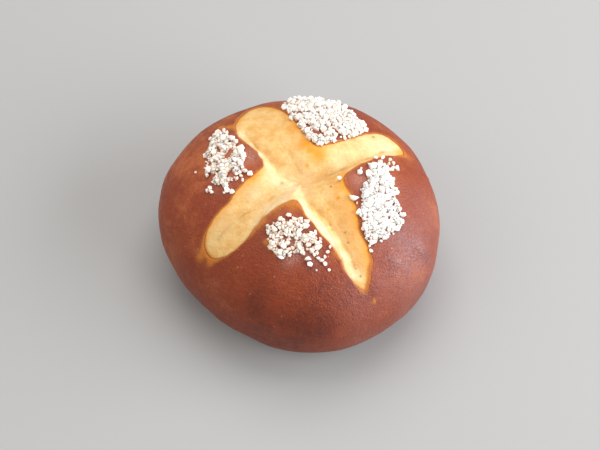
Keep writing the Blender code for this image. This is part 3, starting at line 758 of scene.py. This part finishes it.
def crystal():
    """Corners and triangles, facing out, of a ball of ten corners in two rings between two poles."""
    ring = np.arange(5)
    after = np.roll(ring, -1)
    around = np.concatenate((ring * 0.4, ring * 0.4 + 0.2)) * math.pi
    level = np.repeat((RING_LEVEL, -RING_LEVEL), 5)
    width = np.sqrt(1 - level ** 2)
    corners = np.column_stack((width * np.cos(around), width * np.sin(around), level))
    top, bottom = np.full(5, 10), np.full(5, 11)
    bands = (
        (top, ring, after), (ring, ring + 5, after),
        (after, ring + 5, after + 5), (bottom, after + 5, ring + 5))
    faces = np.concatenate([np.column_stack(band) for band in bands])
    return np.concatenate((corners, ((0, 0, 1), (0, 0, -1)))), faces


def crystal_shapes(directions, count):
    """Corners of many crystals about their middles: each corner of a ball is moved at random.

    The ball is then squeezed along three axes and turned by a random rotation.
    """
    draw = np.random.default_rng(SALT_SEED + 1)
    shape = directions * draw.uniform(*CORNER_RADII, (count, len(directions), 1))
    shape += draw.uniform(-CORNER_SHIFT, CORNER_SHIFT, shape.shape)
    shape *= draw.uniform(*SQUEEZE, (count, 1, 3))
    axes = np.linalg.qr(draw.normal(size=(count, 3, 3)))[0]
    axes[:, 0] *= np.linalg.det(axes)[:, None]
    return np.einsum("gvk,gkl->gvl", shape, axes)


def make_salt_mesh():
    """The salt: all crystals in one mesh.

    Corners deep in a heap and on each crystal's lower side get a painted warm shade, which stands in for
    light coming through the salt from the brown crust.
    """
    grains, warmth = lay_grains()
    directions, faces = crystal()
    count = len(grains)
    shape = crystal_shapes(directions, count)
    points = uneven(grains[:, :3])[:, None] + shape * grains[:, 3, None, None]
    numbers = faces[None] + (np.arange(count) * len(directions))[:, None, None]
    mesh = bpy.data.meshes.new("salt")
    mesh.from_pydata(points.reshape(-1, 3), [], numbers.reshape(-1, 3).tolist())
    above = (grains[:, 2] - crust_height(grains[:, :2]))[:, None] + shape[..., 2] * grains[:, 3, None]
    low_down = 1 - smoothstep(above, 0.1 * MM, 2.2 * MM)
    underneath = smoothstep(-shape[..., 2], -0.2, 0.9)
    # Painted warm shade: low in a heap and on each crystal's lower side
    painted_deep_shade = (0.7 * low_down + 0.4 * underneath) * np.clip(0.35 + 0.8 * warmth, 0, 1)[:, None]
    put_field(mesh, "warmth", np.repeat(np.clip(0.9 * warmth, 0, 1), len(directions)))
    put_field(mesh, "painted_deep_shade", painted_deep_shade.ravel())
    mesh.shade_smooth()
    mesh.set_sharp_from_angle(angle=SMOOTH_EDGE)
    return mesh


class Value:
    """A shader socket that can be used in Python expressions: each operator adds a Math node."""

    def __init__(self, finish, socket):
        self.finish = finish
        self.socket = socket

    def math(self, operation, first, second):
        return self.finish.node("ShaderNodeMath", {"operation": operation}, {0: first, 1: second})

    def __add__(self, other):
        return self.math("ADD", self, other)

    def __sub__(self, other):
        return self.math("SUBTRACT", self, other)

    def __rsub__(self, other):
        return self.math("SUBTRACT", other, self)

    def __mul__(self, other):
        return self.math("MULTIPLY", self, other)

    __radd__ = __add__
    __rmul__ = __mul__


class Finish:
    """A Principled material while it is made."""

    def __init__(self, name):
        self.material = bpy.data.materials.new(name)
        self.material.use_nodes = True
        self.tree = self.material.node_tree
        self.shader = self.tree.nodes["Principled BSDF"]
        self.place = self.node("ShaderNodeTexCoord", {}, {}, "Object")

    def put(self, socket, value):
        """Links a value to a socket, or sets the socket to a number or a colour."""
        if isinstance(value, Value):
            self.tree.links.new(value.socket, socket)
        elif socket.type == "RGBA":
            socket.default_value = (*value, 1.0)
        else:
            socket.default_value = value

    def node(self, kind, settings, inputs, output=0):
        """Adds a node: its settings first, then its sockets, and gives one of its outputs."""
        node = self.tree.nodes.new(kind)
        for name, value in settings.items():
            setattr(node, name, value)
        for key, value in inputs.items():
            self.put(node.inputs[key], value)
        return Value(self, node.outputs[output])

    def attribute(self, name):
        """A number that the mesh carries at each vertex."""
        return self.node("ShaderNodeAttribute", {"attribute_name": name}, {}, "Fac")

    def noise(self, size, detail=2.0, roughness=0.5):
        """Noise from 0 to 1 with lumps of a real size."""
        inputs = {"Vector": self.place, "Scale": 1 / size, "Detail": detail, "Roughness": roughness}
        return self.node("ShaderNodeTexNoise", {}, inputs, "Fac")

    def dots(self, spacing, radius):
        """1 in small dots scattered at a mean spacing, 0 between them."""
        inputs = {"Vector": self.place, "Scale": 1 / spacing}
        away = self.node("ShaderNodeTexVoronoi", {"feature": "F1"}, inputs, "Distance")
        return self.rise(away, 0.5 * radius / spacing, radius / spacing, 1.0, 0.0)

    def rise(self, value, low, high, bottom=0.0, top=1.0):
        """Smooth rise of a value between two marks."""
        inputs = {"Value": value, "From Min": low, "From Max": high, "To Min": bottom, "To Max": top}
        return self.node("ShaderNodeMapRange", {"interpolation_type": "SMOOTHSTEP"}, inputs, "Result")

    def mix(self, share, first, second):
        """Colour between two colours: the first at 0, the second at 1."""
        inputs = {0: share, 6: first, 7: second}
        return self.node("ShaderNodeMix", {"data_type": "RGBA", "clamp_factor": True}, inputs, 2)

    def bump(self, height, depth):
        """Relief from a height of 0 to 1, whose full depth is a real length."""
        inputs = {"Height": height, "Distance": depth, "Strength": 1.0}
        self.set("Normal", self.node("ShaderNodeBump", {}, inputs, "Normal"))

    def set(self, name, value):
        """Sets or links one of the shader's own sockets."""
        self.put(self.shader.inputs[name], value)


def crust_finish():
    """Baked crust: deep red-brown, finely mottled, orange where it thins out at the cut.

    A cool sheen is painted into parts of its colour, and shade into its low side, low at the front and
    beside two bumps; fine salt lies on parts of it, and it is matt underneath.
    """
    finish = Finish("crust")
    mottle = finish.noise(2.2 * MM, detail=4.0, roughness=0.6)
    grain = finish.noise(0.7 * MM, detail=3.0, roughness=0.6)
    # The baked tone also carries painted shade: low at the front, on the low side and beside two bumps
    baked_and_shade = finish.attribute("baked_and_shade") + (mottle - 0.5) * 1.5 + (grain - 0.5) * 1.3
    brown = finish.mix(finish.rise(baked_and_shade, -1.2, 0.2), LIGHT_BROWN, RED_BROWN)
    brown = finish.mix(finish.rise(baked_and_shade, 0.1, 1.4), brown, DARK_BROWN)
    thinned = finish.attribute("thinned") + (mottle - 0.5) * 0.5 + (grain - 0.5) * 0.3
    colour = finish.mix(finish.rise(thinned, 0.1, 0.95), brown, THIN_CRUST)
    under = finish.attribute("under")
    colour = finish.mix(under, colour, BASE_BROWN)
    # Small light flecks, partly painted glints
    colour = finish.mix(finish.dots(4 * MM, 0.33 * MM) * 0.5, colour, LIGHT_FLECKS_AND_GLINTS)
    # A painted cool sheen, broken up by the fine grain
    painted_sheen = finish.attribute("painted_sheen") * finish.rise(grain, 0.35, 0.65, 0.3, 1.7)
    colour = finish.mix(painted_sheen, colour, PAINTED_SHEEN_COLOUR)
    dust = finish.attribute("dust") * finish.rise(grain, 0.4, 0.7, 0.15, 0.5)
    finish.set("Base Color", finish.mix(dust, colour, FINE_DUST))
    roughness = finish.rise(mottle, 0.3, 0.7, 0.46, 0.54) + under * 0.3
    finish.set("Roughness", roughness - finish.attribute("shine") * 0.2)
    finish.set("Specular IOR Level", 0.37)
    finish.bump(mottle * 0.4 + grain * 0.6, 0.75 * MM)
    return finish.material


def crumb_finish():
    """Crumb in the cut: cream, amber where it was bared early, pale on the last torn walls, with painted
    shade along its creases and in tan spots.
    """
    finish = Finish("crumb")
    soft = finish.noise(3.5 * MM, detail=5.0, roughness=0.6)
    fine = finish.noise(0.8 * MM, detail=3.0)
    colour = finish.mix(finish.rise(soft, 0.36, 0.64), CREAM, LIGHT_CREAM)
    colour = finish.mix(finish.attribute("pale") * 0.9, colour, PALE_CRUMB)
    colour = finish.mix(finish.rise(fine, 0.5, 0.75) * 0.35, colour, GOLDEN_GRAIN)
    colour = finish.mix(finish.dots(3 * MM, 0.18 * MM) * 0.4, colour, BROWN_FLECKS)
    # Painted shade: tan where the crumb lies in less light
    colour = finish.mix(finish.attribute("tan"), colour, PAINTED_SHADE_TAN)
    colour = finish.mix(finish.attribute("amber") + (fine - 0.5) * 0.25, colour, AMBER_CRUMB)
    colour = finish.mix(finish.attribute("streak"), colour, GREYISH_CRUMB)
    # Painted shade along the creases
    colour = finish.mix(finish.attribute("crease") * 0.7, colour, CREASE_SHADE_BROWN)
    colour = finish.mix(finish.attribute("specks"), colour, SPECK_BROWN)
    colour = finish.mix(finish.attribute("rim") * 0.9, colour, CARAMEL_LINE)
    finish.set("Base Color", colour)
    finish.set("Roughness", 0.6)
    finish.set("Specular IOR Level", 0.3)
    finish.set("Subsurface Weight", 0.2)
    finish.set("Subsurface Radius", (1.6 * MM, 0.9 * MM, 0.4 * MM))
    finish.set("Subsurface Scale", 1.0)
    finish.bump(soft * 0.4 + fine * 0.6, 0.3 * MM)
    return finish.material


def salt_finish():
    """Coarse salt: white, slightly clear crystals, warmer where a patch is thin, with painted brownish
    shade deep in it and on the crystals' lower sides.
    """
    finish = Finish("salt")
    colour = finish.mix(finish.attribute("warmth"), WHITE_SALT, WARM_SALT)
    # Painted warm shade deep in the heaps and on the crystals' lower sides
    finish.set("Base Color", finish.mix(finish.attribute("painted_deep_shade"), colour, PAINTED_SHADE_SALT))
    finish.set("Roughness", 0.4)
    finish.set("Subsurface Weight", 1.0)
    finish.set("Subsurface Radius", (1.0 * MM, 1.0 * MM, 1.08 * MM))
    finish.set("Subsurface Scale", 1.0)
    return finish.material


def add_light(name, place, size, energy, colour):
    """A soft rectangular light that faces the roll."""
    light = bpy.data.lights.new(name, "AREA")
    light.shape = "RECTANGLE"
    light.size, light.size_y = size
    light.energy = energy
    light.color = colour
    lamp = bpy.data.objects.new(name, light)
    lamp.location = place
    lamp.rotation_euler = (Vector((0, 0, HEIGHT / 2)) - Vector(place)).to_track_quat("-Z", "Y").to_euler()
    bpy.context.scene.collection.objects.link(lamp)


def make_floor():
    """A plain pale floor, one large square just under the roll."""
    mesh = bpy.data.meshes.new("floor")
    sides = ((-1, -1), (1, -1), (1, 1), (-1, 1))
    mesh.from_pydata([(x * FLOOR_HALF, y * FLOOR_HALF, FLOOR_LEVEL) for x, y in sides], [], [(0, 1, 2, 3)])
    floor = bpy.data.objects.new("floor", mesh)
    bpy.context.scene.collection.objects.link(floor)
    paper = Finish("floor")
    paper.set("Base Color", FLOOR_COLOUR)
    paper.set("Roughness", 0.9)
    mesh.materials.append(paper.material)


def make_studio(step):
    """The floor, soft light from the right, from behind and above, and from the left, and the camera."""
    make_floor()
    world = bpy.data.worlds.new("studio")
    world.use_nodes = True
    background = world.node_tree.nodes["Background"]
    background.inputs["Color"].default_value = SKY_COLOUR
    background.inputs["Strength"].default_value = SKY_STRENGTH
    bpy.context.scene.world = world
    for light in LIGHTS:
        add_light(*light)

    camera = bpy.data.cameras.new("camera")
    camera.sensor_width = SENSOR_WIDTH
    camera.lens = CAMERA_LENS
    camera.clip_start = NEAREST_SEEN
    eye = bpy.data.objects.new("camera", camera)
    back = Vector((0, -math.cos(CAMERA_ELEVATION), math.sin(CAMERA_ELEVATION)))
    eye.location = CAMERA_AIM + step + back * CAMERA_DISTANCE
    eye.rotation_euler = (-back).to_track_quat("-Z", "Y").to_euler()
    bpy.context.scene.collection.objects.link(eye)
    bpy.context.scene.camera = eye
    bpy.context.scene.view_settings.view_transform = "Standard"


step = centring()
cut_edge, cut_outward = edge_and_normals()
add_piece("crust", make_crust_mesh(cut_edge, cut_outward), crust_finish(), step)
add_piece("crumb", make_crumb_mesh(cut_edge, cut_outward), crumb_finish(), step)
add_piece("salt", make_salt_mesh(), salt_finish(), step)
make_studio(step)
